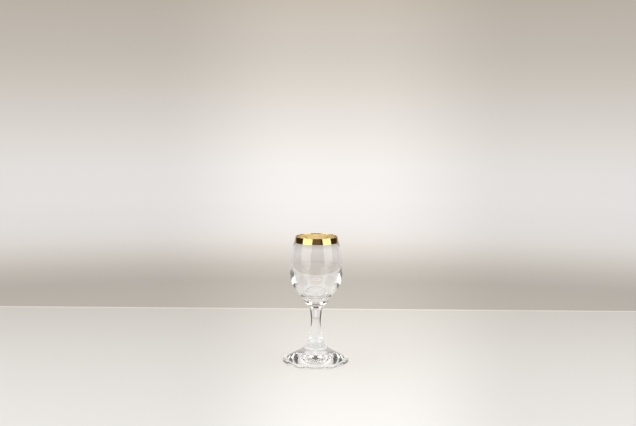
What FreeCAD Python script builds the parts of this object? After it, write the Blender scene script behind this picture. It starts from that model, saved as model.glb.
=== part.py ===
import FreeCAD, Part
import math
import os

# A small stemmed glass, turned about the Z axis. Its origin is the centre of the ring it stands on.
# Each piece is an outline in the XZ plane, with X as the radius, turned once round. An outline runs
# straight from corner to corner, and an arc softens a corner where the glass flows on smoothly.
# The softness of a corner is the share of the shorter side beside it that the arc takes up.

# Heights, piece on piece
foot_height = 11.8
stem_height = 34.5
collar_height = 8.6
bowl_height = 55.1

# Bowl, outside: base, belly and drawn-in wall, as shares of its radius and height
bowl_radius = 22.5
base_radius_share = 0.529
base_height_share = 0.011
belly_radius_share = 1.0445
belly_height_share = 0.2777
belly_softness_share = 0.487
wall_radius_share = 0.92
wall_height_share = 0.7967
lip_radius_share = 0.8042

# Bowl, inside: a thin even wall above, and a thick clear base, a little domed, that rounds up into it
wall_thickness = 1.0
lip_ease = 0.3
base_thickness = 6.0
floor_rise = 1.9
cavity_floor_radius_share = 0.51
cavity_floor_softness_share = 0.15
cavity_side_height_share = 0.353
cavity_side_softness_share = 0.62

# Gold film, fired on the lip and on the wall just below it
gold_thickness = 0.08
gold_outer_depth = 4.8
gold_inner_depth = 1.2

# Collar: a solid button with an eased rim that draws in to a small ring on the stem's top
collar_radius = 10.55
collar_seam_share = 0.957
rim_thickness = 2.4
rim_ease = 0.6
taper_radius_share = 0.76
taper_height_share = 0.44
collar_waist_radius = 6.4
ring_radius = 6.8
ring_thickness = 1.5

# Stem: a solid rod, slimmest at its waist, that flares out to the foot
stem_top_radius = 5.5
waist_radius_share = 0.716
waist_height_share = 0.7206
waist_softness_share = 0.61
flare_radius_share = 1.104
flare_height_share = 0.132
flare_softness_share = 0.97
stem_base_radius = 10.6

# Foot: a low flared cone with a rounded edge and a flat ring to stand on, hollowed to a cone underneath
foot_radius = 28.85
foot_edge_thickness = 1.9
slope_radius_share = 0.463
slope_height_share = 0.832
slope_softness_share = 0.41
rest_ring_width = 4.5
hollow_height = 6.5


def at(radius, height):
    # Point of an outline.
    return FreeCAD.Vector(radius, 0, height)


def line(start, end):
    return Part.makeLine(start, end)


def inward(start, end, distance):
    # Step to the left of the way from start to end, which is into the glass on the way up its outside.
    way = end - start
    return FreeCAD.Vector(-way.z, 0, way.x).normalize() * distance


def half_angle(before, corner, after):
    return (before - corner).getAngle(after - corner) / 2


def beside(points, distance):
    # The corners of an outline that runs at a distance to the left of this one.
    moved = [points[0] + inward(points[0], points[1], distance)]
    for before, corner, after in zip(points, points[1:], points[2:]):
        across = inward(before, corner, distance) + inward(corner, after, distance)
        reach = abs(distance) / math.sin(half_angle(before, corner, after))
        moved.append(corner + across.normalize() * reach)
    return moved + [points[-1] + inward(points[-2], points[-1], distance)]


def outline(points, softness):
    # Edges through the points. The softness of a corner is found by the corner's place in the list.
    edges = []
    start = points[0]
    for place in range(1, len(points) - 1):
        before, corner, after = points[place - 1 : place + 2]
        first = last = corner
        if place in softness:
            reach = softness[place] * min((before - corner).Length, (after - corner).Length)
            back = (before - corner).normalize()
            ahead = (after - corner).normalize()
            half = half_angle(before, corner, after)
            first = corner + back * reach
            last = corner + ahead * reach
            middle = corner + (back + ahead).normalize() * reach * (1 - math.sin(half)) / math.cos(half)
            edges.append(Part.Arc(first, middle, last).toShape())
        edges.append(line(start, first))
        start = last
    return edges + [line(start, points[-1])]


def turned(edges):
    # One full turn of the face inside the edges.
    face = Part.Face(Part.Wire(Part.__sortEdges__(edges)))
    return face.revolve(FreeCAD.Vector(0, 0, 0), FreeCAD.Vector(0, 0, 1), 360)


def wall_corners():
    # Outside of the bowl from the belly up: two corners, and the sharp corner of the lip.
    return [
        at(belly_radius_share * bowl_radius, bowl_base + belly_height_share * bowl_height),
        at(wall_radius_share * bowl_radius, bowl_base + wall_height_share * bowl_height),
        at(lip_radius_share * bowl_radius, bowl_base + bowl_height),
    ]


def lip():
    # End of the wall, square to it, with both edges eased.
    wall, outer = wall_corners()[1:]
    inner = outer + inward(wall, outer, wall_thickness)
    up = (outer - wall).normalize() * lip_ease
    across = inward(wall, outer, lip_ease)
    return [outer - up, outer + across, inner - across, inner - up]


def bowl():
    belly, wall, _ = wall_corners()
    belly_inside, wall_inside, _ = beside(wall_corners(), wall_thickness)
    side_height = bowl_base + cavity_side_height_share * bowl_height
    rise = (side_height - belly_inside.z) / (wall_inside.z - belly_inside.z)
    cavity_side = belly_inside + (wall_inside - belly_inside) * rise
    floor_height = bowl_base + base_thickness
    points = [
        at(0, bowl_base),
        at(collar_seam_share * collar_radius, bowl_base),
        at(base_radius_share * bowl_radius, bowl_base + base_height_share * bowl_height),
        belly,
        wall,
        *lip(),
        wall_inside,
        cavity_side,
        at(cavity_floor_radius_share * bowl_radius, floor_height),
        at(0, floor_height + floor_rise),
    ]
    softness = {3: belly_softness_share, 10: cavity_side_softness_share, 11: cavity_floor_softness_share}
    return turned(outline(points + points[:1], softness))


def gold_band():
    # A film over the lip. Its two ends are square to the wall.
    wall, outer = wall_corners()[1:]
    down = (wall - outer).normalize()
    inner = outer + inward(wall, outer, wall_thickness)
    glass = [outer + down * gold_outer_depth, *lip(), inner + down * gold_inner_depth]
    skin = beside(glass, -gold_thickness)
    return turned(outline(glass + skin[::-1] + glass[:1], {}))


def collar():
    rim_base = bowl_base - rim_thickness
    rim_inside = collar_radius - rim_ease
    points = [
        at(0, bowl_base),
        at(rim_inside, bowl_base),
        at(collar_radius, bowl_base - rim_ease),
        at(collar_radius, rim_base + rim_ease),
        at(rim_inside, rim_base),
        at(taper_radius_share * collar_radius, stem_top + taper_height_share * collar_height),
        at(collar_waist_radius, stem_top + ring_thickness),
        at(ring_radius, stem_top + ring_thickness),
        at(ring_radius, stem_top),
        at(0, stem_top),
    ]
    return turned(outline(points + points[:1], {}))


def stem():
    points = [
        at(0, foot_height),
        at(stem_base_radius, foot_height),
        at(flare_radius_share * stem_top_radius, foot_height + flare_height_share * stem_height),
        at(waist_radius_share * stem_top_radius, foot_height + waist_height_share * stem_height),
        at(stem_top_radius, stem_top),
        at(0, stem_top),
    ]
    return turned(outline(points + points[:1], {2: flare_softness_share, 3: waist_softness_share}))


def foot():
    edge_half = foot_edge_thickness / 2
    edge_inside = foot_radius - edge_half
    top = [
        at(0, foot_height),
        at(stem_base_radius, foot_height),
        at(slope_radius_share * foot_radius, slope_height_share * foot_height),
        at(edge_inside, foot_edge_thickness),
    ]
    under = [
        at(edge_inside, 0),
        at(edge_inside - rest_ring_width, 0),
        at(0, hollow_height),
        at(0, foot_height),
    ]
    edge = Part.Arc(top[-1], at(foot_radius, edge_half), under[0]).toShape()
    return turned(outline(top, {2: slope_softness_share}) + [edge] + outline(under, {}))


stem_top = foot_height + stem_height
bowl_base = stem_top + collar_height
pieces = {"bowl": bowl(), "gold_band": gold_band(), "collar": collar(), "stem": stem(), "foot": foot()}

os.makedirs("parts", exist_ok=True)
for name, piece in pieces.items():
    print(name, "valid" if piece.isValid() else "not valid", "volume", round(piece.Volume / 1000, 2), "cm3")
    piece.exportStep(os.path.join("parts", name + ".step"))
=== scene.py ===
import math

import bpy
from mathutils import Matrix, Vector


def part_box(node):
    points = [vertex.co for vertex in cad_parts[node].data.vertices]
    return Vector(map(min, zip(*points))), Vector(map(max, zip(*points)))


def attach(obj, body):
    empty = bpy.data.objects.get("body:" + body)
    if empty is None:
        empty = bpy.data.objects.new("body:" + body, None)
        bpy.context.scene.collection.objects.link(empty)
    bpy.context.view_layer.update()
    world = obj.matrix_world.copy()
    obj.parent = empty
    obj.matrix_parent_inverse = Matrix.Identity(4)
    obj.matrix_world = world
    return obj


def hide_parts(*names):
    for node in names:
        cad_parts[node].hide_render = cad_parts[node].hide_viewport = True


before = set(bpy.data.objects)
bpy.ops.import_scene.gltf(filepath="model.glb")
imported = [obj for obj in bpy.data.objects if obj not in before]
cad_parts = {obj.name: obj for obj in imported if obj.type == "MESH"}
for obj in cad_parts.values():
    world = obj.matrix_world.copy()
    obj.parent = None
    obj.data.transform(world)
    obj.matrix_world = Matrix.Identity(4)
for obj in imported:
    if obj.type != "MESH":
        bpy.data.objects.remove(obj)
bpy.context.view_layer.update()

mm = 0.001  # sizes below are in millimetres, the scene is in metres
print("small stemmed glass: starting")


def topOf(node):
    # Height of a CAD node's highest point, in mm.
    return round(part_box(node)[1].z / mm, 3)


# Where two pieces are fused: the radius of the joint that is clear of any rounding, and its height, in mm
bowlSeam = (9.45, topOf("collar"))
stemSeam = (5.5, topOf("stem"))
footSeam = (10.6, topOf("foot"))


def sine(angle):
    # Of an angle in degrees, as all angles are in the dictionaries below.
    return math.sin(math.radians(angle))


def cosine(angle):
    return math.cos(math.radians(angle))


def hexToLinear(code):
    # An sRGB hex colour as the linear colour that a socket takes.
    values = [int(code[i : i + 2], 16) / 255 for i in (1, 3, 5)]
    linear = [v / 12.92 if v <= 0.04045 else ((v + 0.055) / 1.055) ** 2.4 for v in values]
    return (*linear, 1.0)


def addNode(tree, kind, settings=None, **links):
    # A node with its settings and inputs, by name or, as in0, by number. An output socket is linked.
    node = tree.nodes.new(kind)
    for name, value in (settings or {}).items():
        setattr(node, name, value)
    for name, value in links.items():
        key = int(name[2:]) if name.startswith("in") and name[2:].isdigit() else name.replace("_", " ")
        if isinstance(value, bpy.types.NodeSocket):
            tree.links.new(value, node.inputs[key])
        else:
            node.inputs[key].default_value = value
    return node


smooth = {"interpolation_type": "SMOOTHSTEP"}  # of a range whose ends ease in and out
ofColours = {"data_type": "RGBA"}  # of a Mix node: its colours are inputs 6 and 7, its result output 2


def fillRamp(node, stops):
    # Colour stops of a ramp: position and hex colour.
    ramp = node.color_ramp
    while len(ramp.elements) < len(stops):
        ramp.elements.new(0.5)
    for element, (position, code) in zip(ramp.elements, stops):
        element.position = position
        element.color = hexToLinear(code)


def newMaterial(name):
    material = bpy.data.materials.new(name)
    material.use_nodes = True
    material.node_tree.nodes.clear()
    return material, material.node_tree


# Outlines turned round the Z axis

turning = {
    "arcStep": 4.0,  # degrees of a rounded corner between two rings of vertices
    "mergeWithin": 0.001,  # mm
    "smoothUpTo": 35.0,  # degrees between two faces that still shade as one
    "levelFrom": 0.99,  # upward share of a face's normal from which the face counts as level
    "seamWithin": 0.01,  # mm from a seam's height
}


def roundedOutline(corners):
    # Lines from corner to corner, each given as (radius, height) or (radius, height, rounding) in mm.
    points = [Vector((corner[0], corner[1])) for corner in corners]
    outline = [points[0]]
    for before, corner, after, given in zip(points, points[1:], points[2:], corners[1:-1]):
        rounding = given[2] if len(given) > 2 else 0
        if not rounding:
            outline.append(corner)
            continue
        back = (before - corner).normalized()
        ahead = (after - corner).normalized()
        half = back.angle(ahead) / 2
        start = corner + back * rounding / math.tan(half)
        centre = corner + (back + ahead).normalized() * rounding / math.sin(half)
        arm = start - centre
        sweep = math.pi - 2 * half
        count = max(2, math.ceil(math.degrees(sweep) / turning["arcStep"]))
        turn = sweep if back.cross(ahead) < 0 else -sweep
        for i in range(count + 1):
            angle = turn * i / count
            cos, sin = math.cos(angle), math.sin(angle)
            outline.append(centre + Vector((arm.x * cos - arm.y * sin, arm.x * sin + arm.y * cos)))
    outline.append(points[-1])
    return outline


def turnedPiece(name, outline, base, steps):
    # Draws the outline, whose heights are above the base, as a chain of vertices and spins it once round.
    bpy.ops.object.select_all(action="DESELECT")
    bpy.ops.mesh.primitive_plane_add(size=mm, location=(0, 0, 0))
    piece = bpy.context.object
    piece.name = name
    bpy.ops.object.mode_set(mode="EDIT")
    bpy.ops.mesh.select_mode(type="VERT")
    bpy.ops.mesh.select_all(action="SELECT")
    bpy.ops.mesh.merge(type="CENTER")
    radius, height = outline[0]
    bpy.ops.transform.translate(value=(radius * mm, 0, (height + base) * mm))
    for here, there in zip(outline, outline[1:]):
        step = (there - here) * mm
        bpy.ops.mesh.extrude_region_move(TRANSFORM_OT_translate={"value": (step.x, 0, step.y)})
    bpy.ops.mesh.select_all(action="SELECT")
    bpy.ops.mesh.spin(steps=steps, angle=math.tau, center=(0, 0, 0), axis=(0, 0, 1))
    bpy.ops.mesh.select_all(action="SELECT")
    bpy.ops.mesh.remove_doubles(threshold=turning["mergeWithin"] * mm)
    bpy.ops.mesh.select_all(action="SELECT")
    bpy.ops.mesh.normals_make_consistent(inside=False)
    bpy.ops.object.mode_set(mode="OBJECT")
    bpy.ops.object.shade_smooth_by_angle(angle=math.radians(turning["smoothUpTo"]))
    return piece


def finishPiece(piece, surface, node, seams=()):
    # Gives a piece its surface, and a clear joint where it is fused to its neighbours.
    piece.data.materials.append(surface)
    if seams:
        piece.data.materials.append(seamGlass)
    for radius, height in seams:
        for face in piece.data.polygons:
            middle = face.center
            level = abs(face.normal.z) > turning["levelFrom"]
            atSeam = abs(middle.z - height * mm) < turning["seamWithin"] * mm
            if level and atSeam and math.hypot(middle.x, middle.y) < radius * mm:
                face.material_index = 1  # the clear one, added second
    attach(piece, "root")
    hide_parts(node)
    print("made", node, len(piece.data.polygons), "faces")


# Materials

glassLook = {
    "tint": "#fdfdfe",
    "ior": 1.52,
    "roughness": 0.0,
    "shadowTint": "#f8f7f5",  # of the light that goes straight through to the table
    "waveSize": 9.0,  # mm from one faint wave of the surface to the next
    "waveHeight": 0.004,  # mm
    "waveDetail": 1.0,
    "waveRoughness": 0.4,
}


def blownGlass(name):
    # Blown glass, fire polished: clear and sharp, with faint waves left by the mould and the flame.
    material, tree = newMaterial(name)
    place = addNode(tree, "ShaderNodeTexCoord")
    waves = addNode(
        tree,
        "ShaderNodeTexNoise",
        Vector=place.outputs["Object"],
        Scale=1 / (glassLook["waveSize"] * mm),
        Detail=glassLook["waveDetail"],
        Roughness=glassLook["waveRoughness"],
    )
    bump = addNode(
        tree,
        "ShaderNodeBump",
        Height=waves.outputs["Fac"],
        Strength=1.0,
        Distance=glassLook["waveHeight"] * mm,
    )
    glass = addNode(
        tree,
        "ShaderNodeBsdfPrincipled",
        Base_Color=hexToLinear(glassLook["tint"]),
        Roughness=glassLook["roughness"],
        IOR=glassLook["ior"],
        Transmission_Weight=1.0,
        Normal=bump.outputs["Normal"],
    )
    # light for the table goes straight through, a little weaker, so that glass throws a pale shadow
    path = addNode(tree, "ShaderNodeLightPath")
    lighting = addNode(
        tree,
        "ShaderNodeMath",
        {"operation": "MAXIMUM"},
        in0=path.outputs["Is Shadow Ray"],
        in1=path.outputs["Is Diffuse Ray"],
    )
    through = addNode(tree, "ShaderNodeBsdfTransparent", Color=hexToLinear(glassLook["shadowTint"]))
    both = addNode(
        tree,
        "ShaderNodeMixShader",
        in0=lighting.outputs[0],
        in1=glass.outputs["BSDF"],
        in2=through.outputs["BSDF"],
    )
    addNode(tree, "ShaderNodeOutputMaterial", Surface=both.outputs["Shader"])
    return material


def fusedSeam():
    # Glass fused hot to glass: no surface is left to see.
    material, tree = newMaterial("glass_fused_seam")
    glass = addNode(
        tree,
        "ShaderNodeBsdfPrincipled",
        IOR=glassLook["ior"],
        Transmission_Weight=1.0,
        Alpha=0.0,
    )
    addNode(tree, "ShaderNodeOutputMaterial", Surface=glass.outputs["BSDF"])
    return material


goldLook = {
    "colour": "#fcde9c",
    "worn": "#f5d186",
    "wornUpTo": 0.35,  # of the mottling, which runs from 0 to 1
    "brightFrom": 0.6,
    "roughness": 0.07,
    "grainSize": 0.6,  # mm
    "grainHeight": 0.002,  # mm
    "grainDetail": 3.0,
    "grainRoughness": 0.6,
}


def firedGold():
    # Bright gold fired on glass: a thin mirror-like film with the faint mottling of its brush.
    material, tree = newMaterial("gold_fired_bright")
    place = addNode(tree, "ShaderNodeTexCoord")
    mottle = addNode(
        tree,
        "ShaderNodeTexNoise",
        Vector=place.outputs["Object"],
        Scale=1 / (goldLook["grainSize"] * mm),
        Detail=goldLook["grainDetail"],
        Roughness=goldLook["grainRoughness"],
    )
    ramp = addNode(tree, "ShaderNodeValToRGB", Fac=mottle.outputs["Fac"])
    fillRamp(ramp, [(goldLook["wornUpTo"], goldLook["worn"]), (goldLook["brightFrom"], goldLook["colour"])])
    bump = addNode(
        tree,
        "ShaderNodeBump",
        Height=mottle.outputs["Fac"],
        Strength=1.0,
        Distance=goldLook["grainHeight"] * mm,
    )
    gold = addNode(
        tree,
        "ShaderNodeBsdfPrincipled",
        Base_Color=ramp.outputs["Color"],
        Metallic=1.0,
        Roughness=goldLook["roughness"],
        Normal=bump.outputs["Normal"],
    )
    addNode(tree, "ShaderNodeOutputMaterial", Surface=gold.outputs["BSDF"])
    return material


bowlGlass = blownGlass("glass_blown_bowl")
pressedGlass = blownGlass("glass_pressed_stem")
seamGlass = fusedSeam()
goldFilm = firedGold()
print("materials ready")


# Pieces. The heights in an outline are above the piece's own base.

bowlSizes = {
    "steps": 200,  # round the axis
    "outside": [
        (10.1, 0),
        (11.9, 0.6, 5.6),  # base, just above the collar
        (23.5, 15.3, 22.6),  # belly
        (20.7, 43.9, 27.0),  # wall, drawing in to the lip
    ],
    "lipMiddle": (17.721, 54.5),
    "lipHalf": 0.5,  # half the wall's thickness
    "lipLean": 13.1,  # degrees that the wall leans inwards under the lip
    "lipSteps": 10,
    "inside": [
        (0, 7.9),  # the floor is a little domed
        (11.475, 6.0, 2.95),
        (22.09, 19.45, 26.4),
        (19.711, 43.735, 26.0),
    ],
}


def lipArc():
    # Half a turn over the lip, from the outer side to the inner one.
    s = bowlSizes
    radius, height = s["lipMiddle"]
    points = []
    for i in range(s["lipSteps"] + 1):
        angle = s["lipLean"] + 180 * i / s["lipSteps"]
        points.append(Vector((radius + s["lipHalf"] * cosine(angle), height + s["lipHalf"] * sine(angle))))
    return points


def makeBowl():
    s = bowlSizes
    lip = lipArc()
    outside = roundedOutline(s["outside"] + [tuple(lip[0])])
    inside = roundedOutline(s["inside"] + [tuple(lip[-1])])
    underside = [Vector((0, 0)), Vector((bowlSeam[0], 0))]
    outline = underside + outside[:-1] + lip + inside[-2::-1]
    piece = turnedPiece("bowl_visual", outline, bowlSeam[1], s["steps"])
    finishPiece(piece, bowlGlass, "bowl", [bowlSeam])
    return outside, inside, lip


goldSizes = {
    "steps": 200,
    "outerDepth": 4.8,
    "innerDepth": 1.2,
    "proud": 0.06,  # mm that the film stands out of the glass
    "sunk": 0.02,  # mm that it reaches into the glass, so that no gap shows
}


def alongTop(side, depth):
    # The points of a side over its last stretch, below the lip.
    kept = [side[-1]]
    left = depth
    for there, here in zip(side[::-1], side[-2::-1]):
        length = (there - here).length
        if length >= left:
            kept.append(there + (here - there) * left / length)
            break
        kept.append(here)
        left -= length
    return kept[::-1]


def offset(points, distance):
    # The same points moved to the left of their direction of travel.
    moved = []
    for i, point in enumerate(points):
        along = points[min(i + 1, len(points) - 1)] - points[max(i - 1, 0)]
        along.normalize()
        moved.append(point + Vector((-along.y, along.x)) * distance)
    return moved


def makeGold(outside, inside, lip):
    s = goldSizes
    path = alongTop(outside, s["outerDepth"])[:-1] + lip + alongTop(inside, s["innerDepth"])[-2::-1]
    outer = offset(path, -s["proud"])
    inner = offset(path, s["sunk"])
    outline = outer + inner[::-1] + [outer[0]]
    piece = turnedPiece("gold_band_visual", outline, bowlSeam[1], s["steps"])
    finishPiece(piece, goldFilm, "gold_band")


collarHeight = bowlSeam[1] - stemSeam[1]
collarSizes = {
    "steps": 160,
    "outline": [
        (0, collarHeight),
        (bowlSeam[0], collarHeight),
        (10.55, collarHeight, 1.0),  # rim
        (10.55, 6.2, 1.1),
        (8.0, 3.8, 6.0),  # taper
        (6.4, 1.5),
        (6.8, 1.5, 0.3),  # small ring on the stem's top
        (6.8, 0, 0.7),
        (stemSeam[0], 0),
        (0, 0),
    ],
}


def makeCollar():
    s = collarSizes
    piece = turnedPiece("collar_visual", roundedOutline(s["outline"]), stemSeam[1], s["steps"])
    finishPiece(piece, pressedGlass, "collar", [bowlSeam, stemSeam])


stemHeight = stemSeam[1] - footSeam[1]
stemSizes = {
    "steps": 160,
    "outline": [
        (0, 0),
        (footSeam[0], 0),
        (6.07, 4.55, 17.6),  # flare
        (3.94, 24.86, 44.6),  # waist
        (stemSeam[0], stemHeight),
        (0, stemHeight),
    ],
}


def makeStem():
    s = stemSizes
    piece = turnedPiece("stem_visual", roundedOutline(s["outline"]), footSeam[1], s["steps"])
    finishPiece(piece, pressedGlass, "stem", [stemSeam, footSeam])


footSizes = {
    "steps": 220,
    "outline": [
        (0, footSeam[1]),
        footSeam,
        (13.36, 9.82, 22.3),  # slope
        (28.3, 1.9, 0.9),
        (28.85, 0.9, 0.6),  # edge
        (28.7, 0, 0.6),
        (23.4, 0, 0.8),  # inner end of the ring that it stands on
        (0, 6.5),  # top of the hollow
    ],
}


def makeFoot():
    s = footSizes
    piece = turnedPiece("foot_visual", roundedOutline(s["outline"]), 0, s["steps"])
    finishPiece(piece, pressedGlass, "foot", [footSeam])


outside, inside, lip = makeBowl()
makeGold(outside, inside, lip)
makeCollar()
makeStem()
makeFoot()


# Studio

cameraSizes = {
    "lens": 50.49,
    "sensorWidth": 36.0,
    "clip": (10.0, 100000.0),
    "place": (1.1, -762.8, 215.8),
    "pitch": -6.42,
    "roll": 0.45,
}

# The set's light falls off with the bearing: how far a line of sight goes aside for each step ahead
sideFalloff = {
    "start": 0.034,  # bearing from the brightest place
    "end": 0.2,
    "least": 0.825,  # share of the light that is left at the sides
    "backdropMiddle": 0.017,  # bearing of the brightest place itself
    "tableMiddle": 0.045,
}


def fallingOff(tree, bearing, middle):
    # The set is lit brightest in its middle and falls off softly to the sides.
    s = sideFalloff
    shifted = addNode(tree, "ShaderNodeMath", {"operation": "SUBTRACT"}, in0=bearing, in1=middle)
    sideways = addNode(tree, "ShaderNodeMath", {"operation": "ABSOLUTE"}, in0=shifted.outputs[0])
    falloff = addNode(
        tree,
        "ShaderNodeMapRange",
        smooth,
        Value=sideways.outputs[0],
        From_Min=s["start"],
        From_Max=s["end"],
        To_Min=1.0,
        To_Max=s["least"],
    )
    return falloff.outputs["Result"]


tableLook = {
    "back": 208.0,  # mm from the glass to the far edge
    "reach": 3000.0,  # mm to the front and to each side
    "paleAt": -165.0,  # depth where the table is palest, between the camera and the glass
    "nearColour": "#f2f1f0",
    # painted shade: the far part of the paper is coloured darker, where less light falls
    "farShadeColour": "#dfdcd6",
    # painted highlight: a thin lighter strip along the far edge, where it catches the light
    "edgeHighlightColour": "#f2ede6",
    "farEnds": 0.984,  # of the way from the palest place to the far edge
    "edgeStarts": 0.99,
    "roughness": 0.55,
    "specular": 0.2,
    "glowColour": "#fffdfa",
    "glow": 0.9,
    "glowInner": 30.0,  # mm round the glass, which gathers light on the table
    "glowOuter": 58.0,
}


def mattPaper():
    # Matt white paper without shine. Its colour carries painted light: palest between the camera and the
    # glass, painted shade that makes it a little darker far back, and a painted highlight along the far cut
    # edge.
    s = tableLook
    material, tree = newMaterial("paper_matt_white")
    place = addNode(tree, "ShaderNodeTexCoord")
    split = addNode(tree, "ShaderNodeSeparateXYZ", Vector=place.outputs["Object"])
    along = addNode(
        tree,
        "ShaderNodeMapRange",
        Value=split.outputs["Y"],
        From_Min=s["paleAt"] * mm,
        From_Max=s["back"] * mm,
    )
    ramp = addNode(tree, "ShaderNodeValToRGB", Fac=along.outputs["Result"])
    # painted light in the paper's colour: palest near the camera, painted shade towards the back, a painted
    # highlight on the far edge
    stops = [(0.0, s["nearColour"]), (s["farEnds"], s["farShadeColour"]), (s["edgeStarts"], s["edgeHighlightColour"])]
    fillRamp(ramp, stops)
    standpoint = cameraSizes["place"][1] * mm  # a fixed place, also when the set is seen from elsewhere
    ahead = addNode(tree, "ShaderNodeMath", {"operation": "ADD"}, in0=split.outputs["Y"], in1=-standpoint)
    bearing = addNode(
        tree, "ShaderNodeMath", {"operation": "DIVIDE"}, in0=split.outputs["X"], in1=ahead.outputs[0]
    )
    falloff = fallingOff(tree, bearing.outputs[0], sideFalloff["tableMiddle"])
    shaded = addNode(
        tree, "ShaderNodeVectorMath", {"operation": "SCALE"}, in0=ramp.outputs["Color"], Scale=falloff
    )
    paper = addNode(
        tree,
        "ShaderNodeBsdfPrincipled",
        Base_Color=shaded.outputs[0],
        Roughness=s["roughness"],
        Specular_IOR_Level=s["specular"],
    )
    # light that the glass gathers round its foot, seen through the glass
    flat = addNode(tree, "ShaderNodeCombineXYZ", X=split.outputs["X"], Y=split.outputs["Y"], Z=0.0)
    away = addNode(tree, "ShaderNodeVectorMath", {"operation": "LENGTH"}, in0=flat.outputs[0])
    near = addNode(
        tree,
        "ShaderNodeMapRange",
        smooth,
        Value=away.outputs["Value"],
        From_Min=s["glowOuter"] * mm,
        From_Max=s["glowInner"] * mm,
    )
    path = addNode(tree, "ShaderNodeLightPath")
    through = addNode(
        tree,
        "ShaderNodeMath",
        {"operation": "MULTIPLY"},
        in0=near.outputs["Result"],
        in1=path.outputs["Is Transmission Ray"],
    )
    glow = addNode(tree, "ShaderNodeEmission", Color=hexToLinear(s["glowColour"]), Strength=s["glow"])
    both = addNode(
        tree,
        "ShaderNodeMixShader",
        in0=through.outputs[0],
        in1=paper.outputs["BSDF"],
        in2=glow.outputs["Emission"],
    )
    addNode(tree, "ShaderNodeOutputMaterial", Surface=both.outputs["Shader"])
    return material


def makeTable():
    s = tableLook
    depth = s["reach"] + s["back"]
    bpy.ops.object.select_all(action="DESELECT")
    bpy.ops.mesh.primitive_plane_add(size=1, location=(0, 0, 0))
    table = bpy.context.object
    table.name = "studio_table"
    bpy.ops.object.mode_set(mode="EDIT")
    bpy.ops.mesh.select_all(action="SELECT")
    bpy.ops.transform.resize(value=(2 * s["reach"] * mm, depth * mm, 1))
    bpy.ops.transform.translate(value=(0, (s["back"] - depth / 2) * mm, 0))
    bpy.ops.object.mode_set(mode="OBJECT")
    table.data.materials.append(mattPaper())


# The backdrop's colours by the height of the line of sight, in degrees above the horizon
backdrop = [
    (-12.5, "#cdc6bc"),
    (-10.7, "#c6bfb6"),
    (-9.8, "#d2cbc2"),
    (-9.0, "#e1dbd3"),
    (-8.1, "#f0eae4"),
    (-7.2, "#f4f0ed"),
    (-5.4, "#f8f4f1"),
    (-3.6, "#f7f3f0"),
    (-1.8, "#f2ece6"),
    (0.0, "#e8e2dc"),
    (1.8, "#ded7cd"),
    (3.6, "#d4cdc3"),
    (5.3, "#d0c7bd"),
    (7.0, "#c9c0b2"),
    (14.0, "#d3cdc4"),
    (26.0, "#f4f1ec"),
    (45.0, "#fbfaf7"),
]
# Half angles go to each side of the middle, the other angles are heights above the horizon
worldLook = {
    "backdropHalfAngle": (30.0, 50.0),  # low down and high up
    "backdropWidens": (6.0, 18.0),
    "backdropTop": 60.0,
    "sideSoftness": 0.03,  # of the half angle's cosine
    "topSoftness": 0.05,  # of the top's sine
    "darkFrom": -2.0,  # where the dark room starts
    "darkFull": 6.0,
    "room": "#37322c",
    "roomFront": "#6b655b",
    "frontHalfAngle": (14.0, 30.0),  # where the front of the room is full, and where it ends
    "fill": 0.57,  # even light of the world on matt surfaces
    "fillTint": (1.0, 0.985, 0.97),
}


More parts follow.
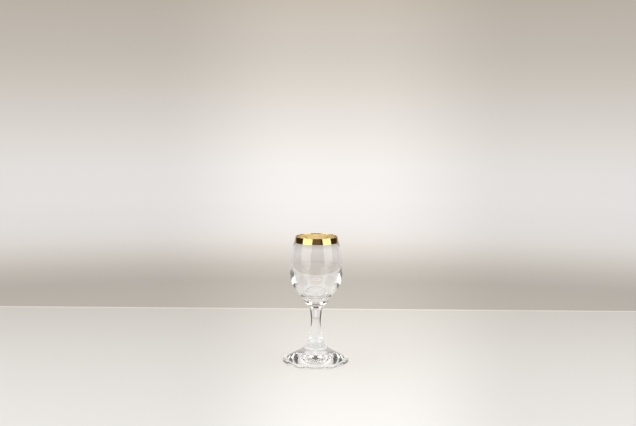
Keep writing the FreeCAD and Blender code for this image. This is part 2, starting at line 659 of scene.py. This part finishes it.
def makeWorld():
    # A pale backdrop behind the glass and a darker room round it, which only mirrored light shows.
    s = worldLook
    world = bpy.data.worlds.new("studio")
    bpy.context.scene.world = world
    world.use_nodes = True
    tree = world.node_tree
    tree.nodes.clear()
    place = addNode(tree, "ShaderNodeTexCoord")
    split = addNode(tree, "ShaderNodeSeparateXYZ", Vector=place.outputs["Generated"])
    heights = [sine(angle) for angle, _ in backdrop]
    bottom, top = heights[0], heights[-1]
    scale = addNode(tree, "ShaderNodeMapRange", Value=split.outputs["Z"], From_Min=bottom, From_Max=top)
    ramp = addNode(tree, "ShaderNodeValToRGB", Fac=scale.outputs["Result"])
    fillRamp(ramp, [((h - bottom) / (top - bottom), code) for h, (_, code) in zip(heights, backdrop)])
    flat = addNode(tree, "ShaderNodeCombineXYZ", X=split.outputs["X"], Y=split.outputs["Y"], Z=0.0)
    unit = addNode(tree, "ShaderNodeVectorMath", {"operation": "NORMALIZE"}, in0=flat.outputs[0])
    bearing = addNode(tree, "ShaderNodeSeparateXYZ", Vector=unit.outputs[0])
    falloff = fallingOff(tree, bearing.outputs["X"], sideFalloff["backdropMiddle"])
    shaded = addNode(
        tree, "ShaderNodeVectorMath", {"operation": "SCALE"}, in0=ramp.outputs["Color"], Scale=falloff
    )
    # past the sides or the top of the backdrop
    edge = addNode(
        tree,
        "ShaderNodeMapRange",
        Value=split.outputs["Z"],
        From_Min=sine(s["backdropWidens"][0]),
        From_Max=sine(s["backdropWidens"][1]),
        To_Min=cosine(s["backdropHalfAngle"][0]),
        To_Max=cosine(s["backdropHalfAngle"][1]),
    )
    past = addNode(
        tree,
        "ShaderNodeMath",
        {"operation": "SUBTRACT"},
        in0=edge.outputs["Result"],
        in1=bearing.outputs["Y"],
    )
    beside = addNode(
        tree,
        "ShaderNodeMapRange",
        Value=past.outputs[0],
        From_Min=-s["sideSoftness"],
        From_Max=s["sideSoftness"],
    )
    above = addNode(
        tree,
        "ShaderNodeMapRange",
        Value=split.outputs["Z"],
        From_Min=sine(s["backdropTop"]) - s["topSoftness"],
        From_Max=sine(s["backdropTop"]) + s["topSoftness"],
    )
    outside = addNode(
        tree,
        "ShaderNodeMath",
        {"operation": "MAXIMUM"},
        in0=beside.outputs["Result"],
        in1=above.outputs["Result"],
    )
    # the room is dark from a little below the horizon up
    high = addNode(
        tree,
        "ShaderNodeMapRange",
        smooth,
        Value=split.outputs["Z"],
        From_Min=sine(s["darkFrom"]),
        From_Max=sine(s["darkFull"]),
    )
    unlit = addNode(
        tree,
        "ShaderNodeMath",
        {"operation": "MULTIPLY"},
        in0=outside.outputs[0],
        in1=high.outputs["Result"],
    )
    # a ray that has been mirrored at least once has a glossy depth of 1 or more
    path = addNode(tree, "ShaderNodeLightPath")
    mirrored = addNode(
        tree, "ShaderNodeMath", {"operation": "GREATER_THAN"}, in0=path.outputs["Glossy Depth"], in1=0.5
    )
    dark = addNode(
        tree, "ShaderNodeMath", {"operation": "MULTIPLY"}, in0=unlit.outputs[0], in1=mirrored.outputs[0]
    )
    front = addNode(
        tree,
        "ShaderNodeMapRange",
        smooth,
        Value=bearing.outputs["Y"],
        From_Min=-cosine(s["frontHalfAngle"][1]),
        From_Max=-cosine(s["frontHalfAngle"][0]),
    )
    room = addNode(
        tree,
        "ShaderNodeMix",
        ofColours,
        Factor=front.outputs["Result"],
        in6=hexToLinear(s["room"]),
        in7=hexToLinear(s["roomFront"]),
    )
    seen = addNode(
        tree, "ShaderNodeMix", ofColours, Factor=dark.outputs[0], in6=shaded.outputs[0], in7=room.outputs[2]
    )
    even = addNode(
        tree,
        "ShaderNodeMix",
        ofColours,
        Factor=path.outputs["Is Diffuse Ray"],
        in6=seen.outputs[2],
        in7=(*(s["fill"] * share for share in s["fillTint"]), 1.0),
    )
    light = addNode(tree, "ShaderNodeBackground", Color=even.outputs[2], Strength=1.0)
    addNode(tree, "ShaderNodeOutputWorld", Surface=light.outputs["Background"])


# Each card's reach to the side, in depth and in height, in mm from the middle of the foot
cards = {
    "tall": {"x": (75.0, 75.0), "y": (8.0, 105.0), "z": (0.3, 52.0)},
    "low": {"x": (75.0, 75.0), "y": (-60.0, 8.0), "z": (0.3, 22.0)},
    "flat": {"x": (60.0, 75.0), "y": (-20.0, 68.0), "z": (0.3, 0.3)},
}
cardLook = {
    "colour": "#13110f",
    "fade": 8.0,  # mm over which the tall card's far and upper edges fade out
    "mirroredFrom": 10.0,  # mm above the table, the lowest part of a low card that a mirrored ray sees
}


def mattCard():
    # Matt black card: near black and even. The tall one's far and upper edges are soft.
    material, tree = newMaterial("card_black_matt")
    place = addNode(tree, "ShaderNodeTexCoord")
    split = addNode(tree, "ShaderNodeSeparateXYZ", Vector=place.outputs["Object"])
    far, high = (
        addNode(
            tree,
            "ShaderNodeMapRange",
            smooth,
            Value=split.outputs[axis.upper()],
            From_Min=(cards["tall"][axis][1] - cardLook["fade"]) * mm,
            From_Max=cards["tall"][axis][1] * mm,
        )
        for axis in "yz"
    )
    larger = {"operation": "MAXIMUM"}
    faded = addNode(tree, "ShaderNodeMath", larger, in0=far.outputs["Result"], in1=high.outputs["Result"])
    # a mirrored ray sees only the upper part of the low cards, so that none darkens the gold's inside
    behind = addNode(
        tree,
        "ShaderNodeMath",
        {"operation": "GREATER_THAN"},
        in0=split.outputs["Y"],
        in1=cards["low"]["y"][1] * mm,
    )
    under = addNode(
        tree,
        "ShaderNodeMath",
        {"operation": "LESS_THAN"},
        in0=split.outputs["Z"],
        in1=cardLook["mirroredFrom"] * mm,
    )
    hidden = addNode(tree, "ShaderNodeMath", larger, in0=behind.outputs[0], in1=under.outputs[0])
    path = addNode(tree, "ShaderNodeLightPath")
    passed = addNode(
        tree,
        "ShaderNodeMath",
        {"operation": "MULTIPLY"},
        in0=hidden.outputs[0],
        in1=path.outputs["Glossy Depth"],
    )
    gone = addNode(tree, "ShaderNodeMath", larger, in0=faded.outputs[0], in1=passed.outputs[0])
    card = addNode(tree, "ShaderNodeEmission", Color=hexToLinear(cardLook["colour"]), Strength=1.0)
    clear = addNode(tree, "ShaderNodeBsdfTransparent")
    both = addNode(
        tree,
        "ShaderNodeMixShader",
        in0=gone.outputs[0],
        in1=card.outputs["Emission"],
        in2=clear.outputs["BSDF"],
    )
    addNode(tree, "ShaderNodeOutputMaterial", Surface=both.outputs["Shader"])
    return material


def makeCard(name, side, reach, material):
    # An upright card has no reach to the side, and a flat one has no height.
    lows, highs = zip(*(reach[axis] for axis in "xyz"))
    spans = [high - low for low, high in zip(lows, highs)]
    middle = [(low + high) / 2 * mm for low, high in zip(lows, highs)]
    bpy.ops.object.select_all(action="DESELECT")
    bpy.ops.mesh.primitive_plane_add(size=1, location=(0, 0, 0))
    card = bpy.context.object
    card.name = name
    bpy.ops.object.mode_set(mode="EDIT")
    bpy.ops.mesh.select_all(action="SELECT")
    if spans[2] > 0:
        bpy.ops.transform.rotate(value=math.pi / 2, orient_axis="Y", center_override=(0, 0, 0))
    bpy.ops.transform.resize(value=[span * mm if span > 0 else 1 for span in spans])
    bpy.ops.transform.translate(value=(side * middle[0], middle[1], middle[2]))
    bpy.ops.object.mode_set(mode="OBJECT")
    card.data.materials.append(material)
    card.visible_camera = False
    card.visible_diffuse = False
    card.visible_glossy = False
    card.visible_shadow = False


def makeCards():
    # Dark cards beside the glass, hidden from the camera, draw the thin dark lines along its edges.
    material = mattCard()
    for kind, reach in cards.items():
        for name, side in (("left", -1), ("right", 1)):
            makeCard("card_%s_%s" % (kind, name), side, reach, material)


# Two soft boxes in front and two overhead. Azimuth goes to the right from the camera's side.
lamps = {
    "left": {"azimuth": -50, "elevation": 20, "distance": 900, "size": (840, 640), "radiance": 1.6},
    "right": {"azimuth": 58, "elevation": 20, "distance": 900, "size": (740, 640), "radiance": 1.6},
    "topLeft": {"azimuth": -100, "elevation": 60, "distance": 1000, "size": (900, 500), "radiance": 1.75},
    "topRight": {"azimuth": 100, "elevation": 60, "distance": 1000, "size": (900, 500), "radiance": 1.75},
}
lampLook = {
    "colour": "#fffcf8",
    "aimHeight": 70.0,  # above the table, where all of them point
}


def makeLamps():
    # A flat lamp's radiance is its power / (pi * area).
    for side, s in lamps.items():
        lamp = bpy.data.lights.new("softbox_" + side, "AREA")
        lamp.shape = "RECTANGLE"
        lamp.size, lamp.size_y = (length * mm for length in s["size"])
        lamp.energy = s["radiance"] * math.pi * lamp.size * lamp.size_y
        lamp.color = hexToLinear(lampLook["colour"])[:3]
        box = bpy.data.objects.new("softbox_" + side, lamp)
        bpy.context.collection.objects.link(box)
        ahead, up = -cosine(s["azimuth"]) * cosine(s["elevation"]), sine(s["elevation"])
        way = Vector((sine(s["azimuth"]) * cosine(s["elevation"]), ahead, up))
        box.location = way * s["distance"] * mm + Vector((0, 0, lampLook["aimHeight"] * mm))
        box.rotation_euler = way.to_track_quat("Z", "Y").to_euler()
        box.visible_camera = False


def makeCamera():
    s = cameraSizes
    camera = bpy.data.cameras.new("camera")
    camera.lens = s["lens"]
    camera.sensor_width = s["sensorWidth"]
    camera.clip_start, camera.clip_end = (distance * mm for distance in s["clip"])
    holder = bpy.data.objects.new("camera", camera)
    bpy.context.collection.objects.link(holder)
    tilt = Matrix.Rotation(math.radians(90 + s["pitch"]), 4, "X")
    roll = Matrix.Rotation(math.radians(s["roll"]), 4, "Z")
    holder.matrix_world = Matrix.Translation(Vector(s["place"]) * mm) @ tilt @ roll
    bpy.context.scene.camera = holder


# Thick glass passes light on many times before it lets it out
bounceLimits = {
    "max_bounces": 32,
    "glossy_bounces": 24,
    "transmission_bounces": 32,
    "transparent_max_bounces": 32,
}

makeTable()
makeCards()
makeWorld()
makeLamps()
makeCamera()
for kind, limit in bounceLimits.items():
    setattr(bpy.context.scene.cycles, kind, limit)
bpy.context.scene.view_settings.view_transform = "Standard"
print("studio ready")
